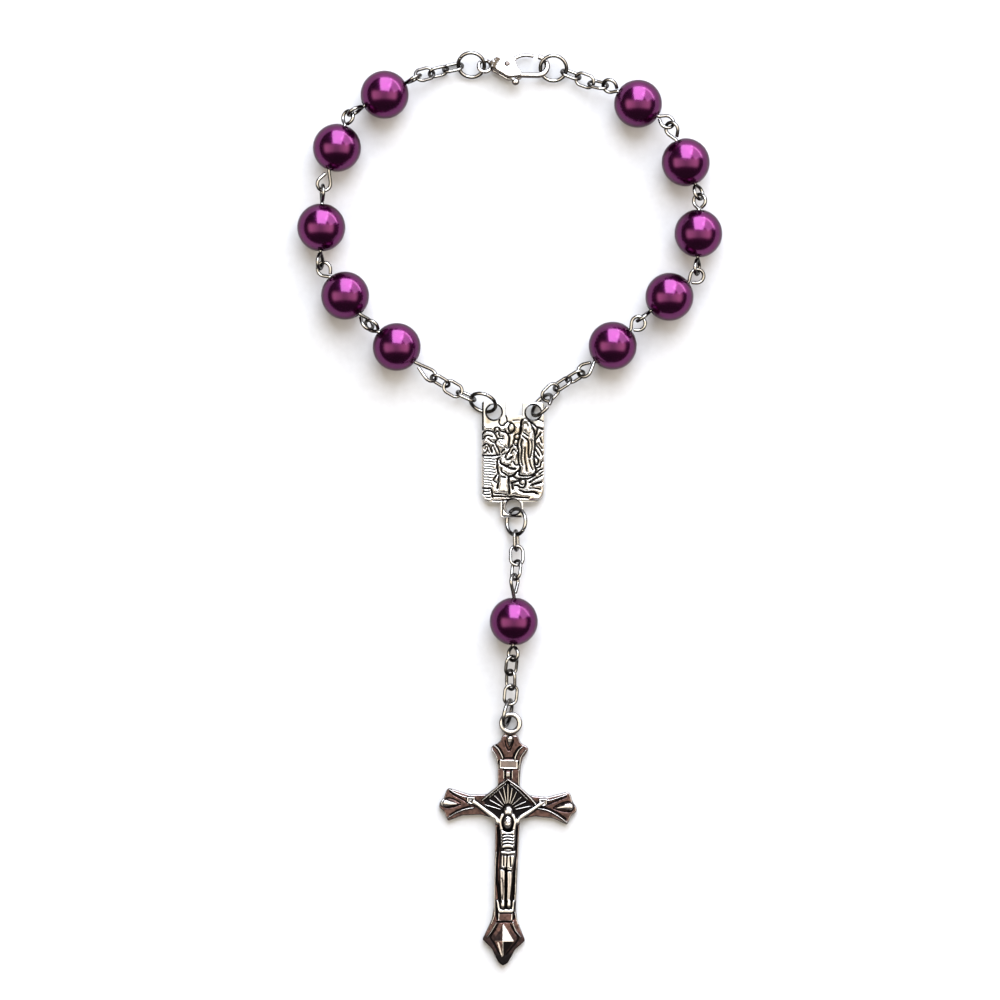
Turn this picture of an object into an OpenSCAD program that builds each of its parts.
/* [Beads] */
// Diameter of every bead
bead_d = 8; // [7.8:0.05:8.1]
// Bore drilled through every bead
bead_bore = 1.6; // [1.4:0.1:1.8]
// Mouth of the countersink at both ends of the bore
bead_mouth = 2.2; // [2:0.1:2.6]

/* [Eye pins] */
// Wire of the eye pins that carry the beads
pin_wire = 0.6; // [0.5:0.02:0.64]

/* [Cable links] */
// Wire of the oval links
link_wire = 0.56; // [0.48:0.02:0.58]
// Outer length of an oval link
link_length = 3.8; // [3.74:0.02:3.84]
// Outer width of an oval link
link_width = 2.66; // [2.6:0.02:2.7]

/* [Jump rings] */
// Wire of the jump rings
ring_wire = 0.64; // [0.56:0.02:0.66]
// Outer diameter of the jump rings
ring_od = 4.98; // [4.92:0.02:5]

/* [Centrepiece] */
// Width of the medal plate
plate_w = 10.3; // [10.2:0.05:10.4]
// Thickness of the medal plate under its relief
plate_t = 1; // [0.9:0.05:1.1]
// Thickness of the plate's two towers, where the rings pass
lug_t = 0.76; // [0.7:0.02:0.8]
// Thickness of the tab at its lower edge
tab_t = 0.56; // [0.5:0.02:0.6]
// Diameter of the three bores
lug_bore = 2.44; // [2.3:0.02:2.5]
// Height of the tallest relief above the plate
scene_h = 1.1; // [0.9:0.05:1.3]

/* [Crucifix] */
// Width across the arms of the cross
cross_w = 22.9; // [22.7:0.1:23.1]
// Thickness of the cross plate
cross_t = 1.2; // [1.1:0.05:1.3]
// Height of the rim lines above the cross plate
rim_h = 0.4; // [0.3:0.05:0.5]
// Height of the figure's middle above the cross plate
figure_h = 0.55; // [0.4:0.05:0.7]

/* [Clasp] */
// Wire thickness of the fixed claw
claw_d = 0.94; // [0.86:0.02:0.98]
// Distance between the two cheeks
cheek_gap = 1; // [0.96:0.02:1.06]
// Thickness of one cheek
cheek_t = 0.55; // [0.45:0.05:0.6]
// Diameter of the rivet that the lever turns on
rivet_d = 0.62; // [0.56:0.02:0.64]
// Bore of the lever
lever_bore = 0.72; // [0.7:0.01:0.76]
// Thickness of the lever's hub between the cheeks
lever_t = 0.8; // [0.7:0.02:0.84]
// Wire thickness of the lever's gate
gate_d = 0.6; // [0.5:0.02:0.64]

/* [Hidden] */

link_r = (link_width - link_wire) / 2;
link_half = (link_length - link_width) / 2;
ring_r = (ring_od - ring_wire) / 2;
// Distance from a bead's middle to the knot where an eye's two legs meet.
neck = 4;
// The cut end of an eye wire stops this far from the middle of its other leg.
eye_cut = 0.74;
// Pieces of one wire run this far into each other where they meet.
lap = 0.05;
arc_fn = 48;
wire_fn = 24;

// The bracelet lies on the table with the middle of its outer box over the origin.
table_shift = [-0.05, 0.13, 0];

// Beads: x, y, heading and climb of the wire, then reach and roll of the upper and the lower eye.
L1 = [-20.7, 68.5, 29, -6, 6.5, 85, 6.6, 75];
L2 = [-28.6, 59.7, 70, 2, 6.2, -40, 7.2, 20];
L3 = [-31.2, 46.5, 88, 0, 6.7, -80, 6.6, 70];
L4 = [-27.25, 35.2, 128.5, -4.6, 6.5, -20, 6.8, 53];
L5 = [-18.7, 26.7, 140, 6, 6.3, -50, 8.1, 40];
R1 = [21.3, 67, 148, -1, 6.4, -35, 6.5, 30];
R2 = [29.2, 57.3, 113, 3, 6.8, -35, 6.3, 55];
R3 = [31.3, 45.5, 88, 1, 6.2, -30, 6.5, 70];
R4 = [26.5, 35, 37, -3, 6.6, 15, 6.4, 95];
R5 = [17.1, 26.9, 41, 6, 6.5, -5, 7.1, -30];
DROP = [0.7, -18.8, 89, -3, 7.5, 60, 6.2, 135];

// Jump rings: x, y, z, heading, climb, roll, then where its slit sits and how wide it opens.
RING_CLASP_LEFT = [-6.35, 73.6, 1.8, 16, 12, 24, 125, 4];
RING_CLASP_RIGHT = [7.3, 73.05, 1.85, -4, 1, 21, 200, 4];
RING_CENTRE_LEFT = [-4.4, 17.5, 2, -30, -10, 50, 100, 4];
RING_CENTRE_RIGHT = [5.4, 17.1, 2.3, 230, 0, -115, 255, 14];
RING_CENTRE_DROP = [1.1, -2.3, 1.9, -95, 0, 45, 60, 6];
RING_CROSS = [-0.3, -34, 2.45, -100, -5, 105, 150, 4];

// Links of each short chain in order: x, y, z, roll.
TOP_LEFT = [[-14.1, 72, 2.5, -20], [-11.8, 72.5, 1.6, 55], [-9.4, 73.2, 1.4, -55]];
TOP_RIGHT = [[10.2, 72, 1.8, -60], [12.5, 71, 2.3, 20], [14.7, 70.2, 3.2, -55]];
MID_LEFT = [[-11.5, 21.1, 2.6, 55], [-9.4, 19.8, 2.1, -5], [-7.2, 18.6, 1.9, 110]];
MID_RIGHT = [[10.9, 21.8, 2.7, -55], [8.8, 20.6, 2, 55], [6.8, 19.2, 1.9, -20]];
DROP_UPPER = [[1.1, -5.4, 2, 105], [1.2, -7.9, 2.4, -10], [1.1, -10.3, 3, 50]];
DROP_LOWER = [[0.3, -26.1, 3.8, -35], [0.2, -28.5, 3.1, 50], [0.2, -31, 2.7, -15]];

// Radius of an eye's loop, from the reach of its inner far side.
function eye_r(reach) = min(1.15, 0.44 * (reach - 3.7));

// Middle of an eye's loop: side is 1 for a bead's upper eye and -1 for its lower one.
function eye_at(bead, side) =
    let (reach = side > 0 ? bead[4] : bead[6], out = side * (reach - eye_r(reach) + pin_wire / 2))
    [
        bead[0] + out * cos(bead[3]) * cos(bead[2]),
        bead[1] + out * cos(bead[3]) * sin(bead[2]),
        4 + out * sin(bead[3])
    ];

function place_of(row) = [row[0], row[1], row[2]];

module on_table() {
    translate(table_shift) children();
}

module bead_frame(row) {
    translate([row[0], row[1], 4])
        rotate([0, 0, row[2]])
            rotate([0, -row[3], 0])
                children();
}

// A round bead drilled from pole to pole along X, with a countersink at both ends of the bore.
module bead(row) {
    sink = 1.2;
    sink_x = 3.2;
    color([0.42, 0.12, 0.42])
        on_table()
            bead_frame(row)
                rotate([0, 90, 0])
                    difference() {
                        sphere(d = bead_d, $fn = 96);
                        cylinder(d = bead_bore, h = bead_d + 4, center = true, $fn = 32);
                        for (turn = [0, 180])
                            rotate([0, turn, 0])
                                translate([0, 0, sink_x])
                                    cylinder(d1 = bead_bore - 0.4, d2 = bead_mouth + 0.7, h = sink, $fn = 32);
                    }
}

// One drop-shaped eye along +X: an arc, two straight legs and the knot where they meet.
module eye(reach) {
    r = eye_r(reach);
    middle = reach - r + pin_wire / 2;
    slope = asin(r / (middle - neck));
    leg = (middle - neck) * cos(slope);
    translate([middle, 0, 0])
        rotate([0, 0, -90 - slope])
            rotate_extrude(angle = 180 + 2 * slope, $fn = arc_fn)
                translate([r, 0])
                    circle(d = pin_wire, $fn = wire_fn);
    for (cut = [[1, 0], [-1, eye_cut / sin(slope) / 2]])
        translate([neck, 0, 0])
            rotate([0, 0, cut[0] * slope])
                translate([cut[1], 0, 0])
                    rotate([0, 90, 0])
                        cylinder(d = pin_wire * 0.98, h = leg - cut[1] + lap, $fn = wire_fn);
    translate([neck, 0, 0])
        sphere(d = pin_wire * 1.15, $fn = wire_fn);
}

module eye_pin(row) {
    color([0.86, 0.86, 0.88])
        on_table()
            bead_frame(row) {
                rotate([0, 90, 0])
                    cylinder(d = pin_wire * 0.98, h = 2 * neck, center = true, $fn = wire_fn);
                rotate([row[5], 0, 0]) eye(row[4]);
                rotate([row[7], 0, 0]) rotate([0, 0, 180]) eye(row[6]);
            }
}

// An oval link in the XY plane, long along X.
module link() {
    for (turn = [0, 180])
        rotate([0, 0, turn]) {
            translate([link_half, 0, 0])
                rotate([0, 0, -90])
                    rotate_extrude(angle = 180, $fn = arc_fn)
                        translate([link_r, 0])
                            circle(d = link_wire, $fn = wire_fn);
            translate([-link_half - lap, link_r, 0])
                rotate([0, 90, 0])
                    cylinder(d = link_wire * 0.98, h = 2 * (link_half + lap), $fn = wire_fn);
        }
}

// A short chain: each link points from the piece before it to the piece after it.
module chain(before, rows, after) {
    places = concat([before], [for (row = rows) place_of(row)], [after]);
    color([0.82, 0.82, 0.84])
        on_table()
            for (i = [1:len(rows)]) {
                way = places[i + 1] - places[i - 1];
                translate(places[i])
                    rotate([0, 0, atan2(way[1], way[0])])
                        rotate([0, -atan2(way[2], norm([way[0], way[1]])), 0])
                            rotate([rows[i - 1][3], 0, 0])
                                link();
            }
}

// A jump ring cut through at one place.
module jump_ring(row) {
    color([0.84, 0.84, 0.86])
        on_table()
            translate(place_of(row))
                rotate([0, 0, row[3]])
                    rotate([0, -row[4], 0])
                        rotate([row[5], 0, 0])
                            rotate([0, 0, row[6] + row[7] / 2])
                                rotate_extrude(angle = 360 - row[7], $fn = arc_fn)
                                    translate([ring_r, 0])
                                        circle(d = ring_wire, $fn = wire_fn);
}

module bead_l1() bead(L1);
module bead_l2() bead(L2);
module bead_l3() bead(L3);
module bead_l4() bead(L4);
module bead_l5() bead(L5);
module bead_r1() bead(R1);
module bead_r2() bead(R2);
module bead_r3() bead(R3);
module bead_r4() bead(R4);
module bead_r5() bead(R5);
module bead_drop() bead(DROP);

module pin_l1() eye_pin(L1);
module pin_l2() eye_pin(L2);
module pin_l3() eye_pin(L3);
module pin_l4() eye_pin(L4);
module pin_l5() eye_pin(L5);
module pin_r1() eye_pin(R1);
module pin_r2() eye_pin(R2);
module pin_r3() eye_pin(R3);
module pin_r4() eye_pin(R4);
module pin_r5() eye_pin(R5);
module pin_drop() eye_pin(DROP);

module chain_top_left() chain(eye_at(L1, 1), TOP_LEFT, place_of(RING_CLASP_LEFT));
module chain_top_right() chain(place_of(RING_CLASP_RIGHT), TOP_RIGHT, eye_at(R1, 1));
module chain_mid_left() chain(eye_at(L5, -1), MID_LEFT, place_of(RING_CENTRE_LEFT));
module chain_mid_right() chain(eye_at(R5, -1), MID_RIGHT, place_of(RING_CENTRE_RIGHT));
module chain_drop_upper() chain(place_of(RING_CENTRE_DROP), DROP_UPPER, eye_at(DROP, 1));
module chain_drop_lower() chain(eye_at(DROP, -1), DROP_LOWER, place_of(RING_CROSS));

module ring_clasp_left() jump_ring(RING_CLASP_LEFT);
module ring_clasp_right() jump_ring(RING_CLASP_RIGHT);
module ring_centre_left() jump_ring(RING_CENTRE_LEFT);
module ring_centre_right() jump_ring(RING_CENTRE_RIGHT);
module ring_centre_drop() jump_ring(RING_CENTRE_DROP);
module ring_cross() jump_ring(RING_CROSS);

// The clasp is drawn around its rivet, with the eye at -X and the claw's nose at +X.
clasp_place = [-0.4, 73.4, 1.85];
clasp_turn = -1;
clasp_roll = -20;
claw_middle = [5, 0.1];
claw_r = 1.68;
claw_sweep = 172;
gate_middle = [3.2, -1.2];
gate_r = 3.25;
gate_from = 70;
gate_sweep = 57;

module clasp_frame() {
    on_table()
        translate(clasp_place)
            rotate([0, 0, clasp_turn])
                rotate([clasp_roll, 0, 0])
                    children();
}

module cheeks() {
    outline = [
        [-2.75, 0.45], [-1.9, 1.15], [-0.75, 2.05], [0.1, 1.7], [0.9, 1.3], [1.45, 0.5],
        [1.75, -0.5], [2.3, -1.13], [2.3, -2], [0.3, -2.25], [-0.6, -1.75], [-1.6, -1.15],
        [-2.75, -0.45]
    ];
    for (side = [-1, 1])
        translate([0, 0, side * (cheek_gap + cheek_t) / 2])
            linear_extrude(cheek_t, center = true)
                polygon(outline);
}

// Solid metal between the cheeks, behind the rivet and at the claw's root.
module clasp_web() {
    rear = [[-2.75, 0.45], [-1.9, 1.15], [-1.3, 1.6], [-1.3, -1.33], [-1.6, -1.15], [-2.75, -0.45]];
    root = [[1.62, -1], [1.75, -0.5], [2.3, -1.13], [2.3, -2], [1.62, -2.08]];
    for (outline = [rear, root])
        linear_extrude(cheek_gap + cheek_t, center = true)
            polygon(outline);
}

module rivet() {
    head = 1.1;
    head_t = 0.2;
    width = cheek_gap + 2 * cheek_t;
    cylinder(d = rivet_d, h = width + head_t, center = true, $fn = wire_fn);
    for (side = [-1, 1])
        translate([0, 0, side * (width + head_t / 2) / 2])
            cylinder(d = head, h = head_t, center = true, $fn = wire_fn);
}

module clasp_eye() {
    translate([-3.72, -0.07, 0])
        rotate_extrude($fn = arc_fn)
            translate([1.02, 0])
                circle(d = 0.64, $fn = wire_fn);
}

// The straight arm, then the curved nose that ends next to the gate's tip.
module claw() {
    start = 2;
    tip = [cos(claw_sweep - 90), sin(claw_sweep - 90)] * claw_r + claw_middle;
    translate([start, claw_middle[1] - claw_r, 0])
        rotate([0, 90, 0])
            cylinder(d = claw_d, h = claw_middle[0] - start, $fn = wire_fn);
    translate([claw_middle[0], claw_middle[1], 0])
        rotate([0, 0, -90])
            rotate_extrude(angle = claw_sweep, $fn = arc_fn)
                translate([claw_r, 0])
                    circle(d = claw_d, $fn = wire_fn);
    translate([tip[0], tip[1], 0])
        sphere(d = claw_d * 1.03, $fn = wire_fn);
}

module clasp_body() {
    color([0.8, 0.8, 0.82])
        clasp_frame() {
            cheeks();
            clasp_web();
            rivet();
            clasp_eye();
            claw();
        }
}

// The gate that closes the claw, in line with the lever's hub.
module gate() {
    tip = [cos(gate_from), sin(gate_from)] * gate_r + gate_middle;
    translate([gate_middle[0], gate_middle[1], 0])
        rotate([0, 0, gate_from])
            rotate_extrude(angle = gate_sweep, $fn = arc_fn)
                translate([gate_r, 0])
                    circle(d = gate_d, $fn = wire_fn);
    translate([tip[0], tip[1], 0])
        sphere(d = gate_d * 1.03, $fn = wire_fn);
}

// Hub, a web to the gate on one side and the thumb tab on the other.
module lever_plate() {
    to_gate = [[0.1, 0.75], [0.85, 0.1], [1.5, 1.2], [1.15, 1.6]];
    to_tab = [[-0.2, -0.6], [0.7, -0.3], [1.55, -2.3], [1, -2.5]];
    cylinder(d = 1.7, h = lever_t, center = true, $fn = 32);
    linear_extrude(lever_t * 0.75, center = true)
        polygon(to_gate);
    linear_extrude(lever_t * 0.9, center = true)
        polygon(to_tab);
    translate([1.45, -2.8, 0])
        sphere(d = 1.25, $fn = 32);
}

module clasp_lever() {
    color([0.88, 0.88, 0.9])
        clasp_frame() {
            difference() {
                lever_plate();
                cylinder(d = lever_bore, h = 4, center = true, $fn = 32);
            }
            gate();
        }
}

// Relief is rooted this high above the flat back of its plate.
root = 0.3;

// A ridge of cast relief from one point to the next, with sloping sides; wide is its mean width.
module ridge(a, b, wide, high) {
    hull()
        for (p = [a, b])
            translate([p[0], p[1], root])
                cylinder(d1 = wide * 1.35, d2 = wide * 0.65, h = high - root, $fn = 6);
}

module ridges(points, wide, high) {
    for (i = [0:len(points) - 2])
        ridge(points[i], points[i + 1], wide, high);
}

// A low oval dome of cast relief.
module dome(p, wide, long, high) {
    translate([p[0], p[1], 0])
        scale([wide / 2, long / 2, high])
            intersection() {
                sphere(r = 1, $fn = 12);
                translate([-1, -1, 0]) cube(2);
            }
}

// The centrepiece is drawn on squared paper, 62 steps across the plate.
step = plate_w / 62;
plate_place = [0.58, 9.3, 0.8];
bores = [[-19, 40], [20.3, 39.6], [0.3, -54.8]];

module plate_outline() {
    polygon([
        [-31, 49], [-30, 50.5], [-8.4, 50.5], [-7.4, 49.5], [-7.4, 36.5], [9.4, 36.5], [9.4, 48.8],
        [10.4, 49.8], [29.8, 49.8], [31, 48.5], [31, -41], [29.5, -45.5], [26.5, -48.8], [22, -50.5],
        [-23, -50.5], [-27, -49], [-29.8, -45.5], [-31, -41]
    ]);
}

module tab_outline() {
    polygon([[-12.6, -45], [10.3, -45], [10.3, -64.5], [9.3, -65.5], [-11.6, -65.5], [-12.6, -64.5]]);
}

// The two towers and the lower end, thinner than the plate between them; lap widens the zones.
module thin_zones(lap = 0) {
    translate([-32, 26 - lap]) square([64, 26 + lap]);
    translate([-32, -67]) square([64, 27 + lap]);
}

module plate() {
    difference() {
        union() {
            linear_extrude(plate_t)
                scale(step)
                    difference() {
                        plate_outline();
                        thin_zones();
                    }
            translate([0, 0, (plate_t - lug_t) * 0.75])
                linear_extrude(lug_t)
                    scale(step)
                        intersection() {
                            plate_outline();
                            thin_zones(1);
                        }
            translate([0, 0, plate_t - tab_t - 0.08])
                linear_extrude(tab_t)
                    scale(step)
                        tab_outline();
        }
        for (bore = bores)
            translate([bore[0] * step, bore[1] * step, -1])
                cylinder(d = lug_bore, h = 4, $fn = 24);
    }
}

// Foliage on the left: width, share of the relief height, then the points of the line in steps.
foliage = [
    [2.6, 0.7, [[-28.5, 10], [-28, 16.5], [-24.5, 19.5], [-20, 17], [-18, 11]]],
    [2.2, 0.5, [[-25.5, 9], [-25, 14], [-22, 14.5], [-20.5, 10]]],
    [2.2, 0.5, [[-28.5, 1], [-28.5, 5], [-26, 6.5], [-23.5, 4], [-26, 1]]],
    [2.2, 0.5, [[-21, 5], [-19, 1], [-16, -1]]],
    [2.2, 0.6, [[-17.5, 20], [-16, 23.5], [-13, 23.5], [-11, 20.5]]],
    [2.4, 0.7, [[-13, 27], [-9.5, 29], [-6.5, 27.5], [-5.5, 22.5]]],
    [2.2, 0.7, [[-3.5, 27], [-0.5, 27], [0, 22.5], [-2.5, 20], [-4.2, 23], [-3.5, 27]]],
    [3.2, 0.55, [[-10, 17], [-6.5, 12], [-7, 4]]],
    [2.4, 0.7, [[-15.5, 9], [-13.5, 12], [-9.5, 11], [-9, 7], [-12.5, 5]]],
    [2.2, 0.5, [[-13, 0], [-9, 3], [-6, 1]]]
];

// Rock face on the right, strokes one above the other.
rock_face = [
    [2.6, 0.5, [[15, 31], [23, 26], [29, 23]]],
    [2.2, 0.45, [[28, 20], [23, 14]]],
    [2.2, 0.45, [[27, 14], [29, 8]]],
    [2.2, 0.45, [[25, 7], [29, 2]]],
    [2.2, 0.45, [[24, 1], [28, -5]]],
    [2.2, 0.45, [[23, -5], [24, -11]]],
    [2.4, 0.45, [[22, -16], [29, -12]]],
    [2.4, 0.5, [[21, -21], [29, -17]]],
    [2.4, 0.5, [[18, -27], [28, -21.5]]],
    [2.4, 0.45, [[17, -31], [29, -26]]],
    [2.2, 0.45, [[18, -35], [28, -31]]]
];

// Ground, small blocks at the lower left and the ledge above.
ground = [
    [2.2, 0.4, [[-4, 32], [8, 32]]],
    [2.4, 0.5, [[-29, -34.5], [-23, -34.5]]],
    [2.4, 0.5, [[-29, -38], [-24, -38]]],
    [2.4, 0.5, [[-28, -41.5], [-24, -41.5]]],
    [2.6, 0.6, [[-19, -41], [-8, -42.5], [3, -42], [17, -44]]],
    [2, 0.5, [[-20, -46.6], [-1, -46.2], [21, -47.4]]],
    [3, 0.6, [[0, -37.5], [14, -36.5], [28, -36.8]]],
    [2.6, 0.5, [[7, -41], [18, -39.5], [27, -41.5]]]
];

// The kneeling figure: arms, cloak and skirt.
kneeling = [
    [3.6, 0.8, [[-7, -9], [-2, -4], [2, 1]]],
    [1.8, 0.6, [[-3.5, 3], [0.5, 6.5]]],
    [5, 0.85, [[-11.5, -12], [-8.5, -18], [-3, -21.5], [3.5, -22.5]]],
    [5, 0.6, [[-7, -12], [1, -15], [5, -18]]],
    [8, 0.7, [[-9, -27], [-9, -38]]]
];

// The standing figure: mantle, its folds, sleeve, string and hem.
standing = [
    [12, 0.7, [[12.5, 15], [14.5, 0], [14.5, -16]]],
    [1.8, 0.95, [[8.5, 15], [10, 2], [10.5, -12], [9, -18]]],
    [1.8, 1, [[12, 15], [13, 0], [13, -18]]],
    [1.8, 1, [[16, 16], [17.5, 2], [17, -18]]],
    [1.8, 0.9, [[19.5, 14], [21, 2], [20.5, -18]]],
    [2.6, 0.8, [[7, -20], [14, -21.5], [21, -20.5]]],
    [1.5, 0.7, [[3.5, 6], [4, -3], [6, -12]]]
];

module strokes(table) {
    for (row = table)
        ridges(row[2] * step, row[0] * step, plate_t + row[1] * scene_h);
}

// Heads, hands and stones as domes: x, y, width, length, share of the relief height.
rounds = [
    [11.5, 25, 8, 10, 1], [4, 15, 5, 5, 0.85], [3.5, 10.5, 5, 7, 0.8],
    [-10, -8.5, 6.5, 7, 0.9], [3.5, -24.5, 7, 5, 0.55], [10, -31, 7, 6, 0.6], [3, -35, 8, 5, 0.5],
    [-26.5, -1, 5, 4, 0.45]
];

module round_forms() {
    for (row = rounds)
        translate([0, 0, plate_t - 0.05])
            dome([row[0], row[1]] * step, row[2] * step, row[3] * step, row[4] * scene_h);
}

// Masonry of thin courses at the lower left, under one heavier course.
module masonry() {
    courses = 9;
    pitch = 2.9;
    for (i = [0:courses - 1])
        ridge([-28.5, -7 - i * pitch] * step, [-19.5, -7.8 - i * pitch] * step, 2.2 * step, plate_t + 0.45);
    ridge([-28.9, -3.5] * step, [-15, -3.8] * step, 2.6 * step, plate_t + 0.6);
}

module centrepiece() {
    color([0.78, 0.77, 0.75])
        on_table()
            translate(plate_place) {
                plate();
                strokes(foliage);
                strokes(rock_face);
                strokes(ground);
                strokes(kneeling);
                strokes(standing);
                round_forms();
                masonry();
            }
}

// The crucifix is drawn upright around the middle of its rays, then turned a little.
cross_place = [-0.25, -49.8, 0];
cross_turn = -1.8;
bail_y = 14.03;
ray_y = -0.33;

// Right half of the outline, from the neck under the bail down to the foot.
half_outline = [
    [1.27, 12], [1.62, 11.05], [2.15, 10.5], [2.75, 10.3], [3.1, 9.85], [2.9, 9.3], [2.2, 8.2], [1.9, 7],
    [1.8, 3.55], [3.57, 2.08], [6.4, 1.9], [9.9, 2.93], [10.3, 2.6], [10.7, 1.3], [11.4, 0.4],
    [11.45, -0.3], [10.6, -1], [9.9, -2.55], [7.5, -1.55], [4.5, -1.35], [2.05, -1.9], [1.98, -4.1],
    [1.83, -16.7], [2.1, -18.6], [2.78, -20.25], [3.55, -22], [1.85, -23.65], [1.42, -24.6],
    [0.75, -25.83], [0, -26.33]
];

module cross_outline() {
    last = len(half_outline) - 1;
    polygon(concat(half_outline, [for (i = [last - 1:-1:0]) [-half_outline[i][0], half_outline[i][1]]]));
}

module mirrored() {
    for (side = [0, 1])
        mirror([side, 0, 0]) children();
}

// The flat cross with a small chamfer, and the bail ring on its neck.
module cross_plate() {
    bevel = 0.15;
    linear_extrude(cross_t - bevel) cross_outline();
    linear_extrude(cross_t) offset(delta = -bevel) cross_outline();
    translate([0, bail_y, 1.2])
        rotate_extrude($fn = 28)
            translate([1.48, 0])
                circle(d = 0.9, $fn = 10);
    hull() {
        translate([-0.95, 11.9, 0.3]) cube([1.9, 0.9, 1.25]);
        translate([-0.55, 9.8, 0.3]) cube([1.1, 0.4, 1.25]);
    }
}

module cross_rims() {
    high = cross_t + rim_h;
    mirrored() {
        ridges([[9.9, -2.15], [8, -1], [6.8, -0.5], [5.6, -0.25]], 0.42, high);
        ridges([[9.7, 2.3], [8, 1.35], [6.6, 0.95]], 0.38, high - 0.1);
        ridges([[2.25, 9.85], [1.75, 8.9], [1.35, 8]], 0.42, high);
        ridges([[1.66, 7.6], [1.55, 6.3]], 0.36, high);
        ridges([[0.92, 6.3], [0.92, 4.7]], 0.26, high - 0.1);
        ridges([[1.5, -4.2], [1.45, -10], [1.5, -17]], 0.26, high - 0.2);
        ridges([[1.45, -18.9], [2.1, -20.4], [2.9, -21.6]], 0.36, high - 0.1);
    }
}

// Drop-shaped domes at the ends of the arms, and one on the neck.
module cabochons() {
    mirrored()
        translate([0, 0, cross_t - 0.05])
            hull() {
                dome([10.15, 0.35], 1.9, 2, 0.75);
                dome([8.5, 0.35], 0.7, 0.8, 0.35);
            }
    translate([0, 0, cross_t])
        hull() {
            dome([0, 11.4], 1, 1, 0.6);
            dome([0, 9.8], 0.4, 0.5, 0.2);
        }
}

// The bare plaque and the small square under it.
module plaques() {
    translate([-1.3, 6.45, 0.4]) cube([2.6, 1.45, cross_t]);
    translate([-0.6, 5, 0.4]) cube([1.2, 1.2, cross_t - 0.25]);
}

// Distance from the rays' middle to just inside the diamond frame.
function ray_length(turn) = 5.13 / (sin(turn) + 0.98 * abs(cos(turn))) - 0.75;

module ray_panel() {
    high = cross_t + 0.55;
    rays = [7, 25, 45, 68, 90];
    mirrored() {
        ridges([[0, 4.75], [4.4, 0.45]], 0.5, high);
        ridges([[4.4, 0.45], [3.4, -0.55], [2.1, -1.45]], 0.5, high);
        for (turn = rays)
            ridge([0.9 * cos(turn), 0.9 * sin(turn) + ray_y],
                  [ray_length(turn) * cos(turn), ray_length(turn) * sin(turn) + ray_y], 0.34, cross_t + 0.35);
        ridge([0.9, ray_y - 0.2], [2.9, -0.95], 0.34, cross_t + 0.35);
    }
    translate([0, ray_y, root])
        cylinder(d1 = 2.2, d2 = 1.5, h = cross_t + 0.45 - root, $fn = 16);
}

// A round limb through points that each give x, y, height above the figure's middle and thickness.
module limb(points, middle) {
    for (i = [0:len(points) - 2])
        hull()
            for (p = [points[i], points[i + 1]])
                translate([p[0], p[1], middle + p[2]])
                    sphere(d = p[3], $fn = 8);
}

module rounded(at, size) {
    translate(at) scale(size) sphere(r = 1, $fn = 12);
}

// Head turned down a little: an oval, a cap of hair and a short beard.
module head(middle) {
    rounded([0, -2.25, middle + 0.35], [0.66, 0.92, 0.7]);
    rounded([0, -1.9, middle + 0.2], [0.86, 0.92, 0.68]);
    rounded([0, -3, middle + 0.25], [0.4, 0.42, 0.55]);
}

module torso(middle) {
    hull() {
        rounded([0, -3.5, middle], [1.35, 0.5, 0.55]);
        rounded([0, -5.2, middle + 0.05], [1.1, 0.8, 0.65]);
        rounded([0, -7, middle - 0.1], [0.9, 0.6, 0.55]);
    }
    for (i = [0:3])
        ridge([-0.7, -4.5 - i * 0.6], [0.7, -4.5 - i * 0.6], 0.26, middle + 0.7);
}

module loincloth(middle) {
    folds = [-0.8, -0.27, 0.27, 0.8];
    hull() {
        rounded([0, -7.5, middle - 0.15], [1.2, 0.3, 0.85]);
        rounded([0, -9.8, middle - 0.15], [1.15, 0.5, 0.8]);
    }
    for (x = folds)
        ridge([x, -7.8], [x * 0.95, -10], 0.3, middle + 0.8);
    ridge([-1.1, -7.4], [1.1, -7.4], 0.42, middle + 0.85);
}

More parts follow.
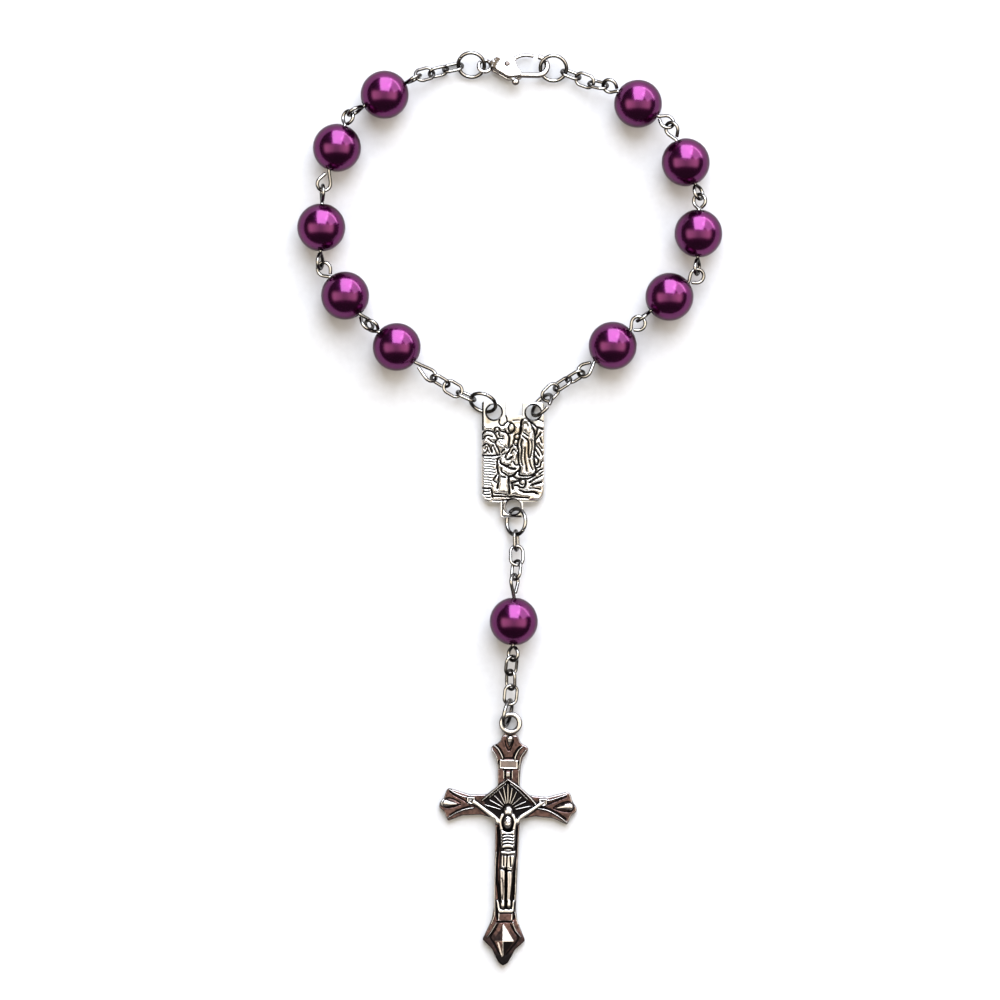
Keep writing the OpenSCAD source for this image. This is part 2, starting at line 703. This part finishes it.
module figure() {
    middle = cross_t + figure_h;
    mirrored() {
        limb([[6, 1.05, -0.15, 0.8], [4.6, 0.1, -0.15, 0.85], [3.1, -1.1, -0.1, 0.95], [1.3, -2.9, 0, 1.15]],
             middle);
        translate([6.1, 1.15, 0.5])
            rotate([0, 0, 20])
                translate([-0.42, -0.4, 0]) cube([0.85, 0.8, cross_t + 0.1]);
        limb([[0.5, -9.8, 0, 1.25], [0.62, -12.4, 0.05, 1.15], [0.45, -15.6, -0.1, 0.85], [0.52, -16.7, 0, 0.95]],
             middle);
    }
    head(middle);
    torso(middle);
    loincloth(middle);
}

module foot_block() {
    hull() {
        translate([-1.05, -17.3, 0.4]) cube([2.1, 0.2, cross_t + 0.3]);
        translate([-1.25, -18.8, 0.4]) cube([2.5, 0.2, cross_t + 0.1]);
    }
}

// A four-sided pyramid with a diamond base on the widened foot.
module base_pyramid() {
    top = -19.45;
    tip = -24.9;
    side_x = 2;
    side_y = -22.15;
    hull() {
        translate([0, 0, cross_t - 0.4])
            linear_extrude(0.4)
                polygon([[0, top], [side_x, side_y], [0, tip], [-side_x, side_y]]);
        translate([0, side_y, cross_t + 0.8])
            cylinder(r = 0.06, h = 0.05, $fn = 4);
    }
}

module crucifix() {
    color([0.6, 0.57, 0.56])
        on_table()
            translate(cross_place)
                rotate([0, 0, cross_turn])
                    scale(cross_w / 22.9) {
                        cross_plate();
                        cross_rims();
                        cabochons();
                        plaques();
                        ray_panel();
                        figure();
                        foot_block();
                        base_pyramid();
                    }
}

bead_l1();
bead_l2();
bead_l3();
bead_l4();
bead_l5();
bead_r1();
bead_r2();
bead_r3();
bead_r4();
bead_r5();
bead_drop();
pin_l1();
pin_l2();
pin_l3();
pin_l4();
pin_l5();
pin_r1();
pin_r2();
pin_r3();
pin_r4();
pin_r5();
pin_drop();
chain_top_left();
chain_top_right();
chain_mid_left();
chain_mid_right();
chain_drop_upper();
chain_drop_lower();
ring_clasp_left();
ring_clasp_right();
ring_centre_left();
ring_centre_right();
ring_centre_drop();
ring_cross();
clasp_body();
clasp_lever();
centrepiece();
crucifix();
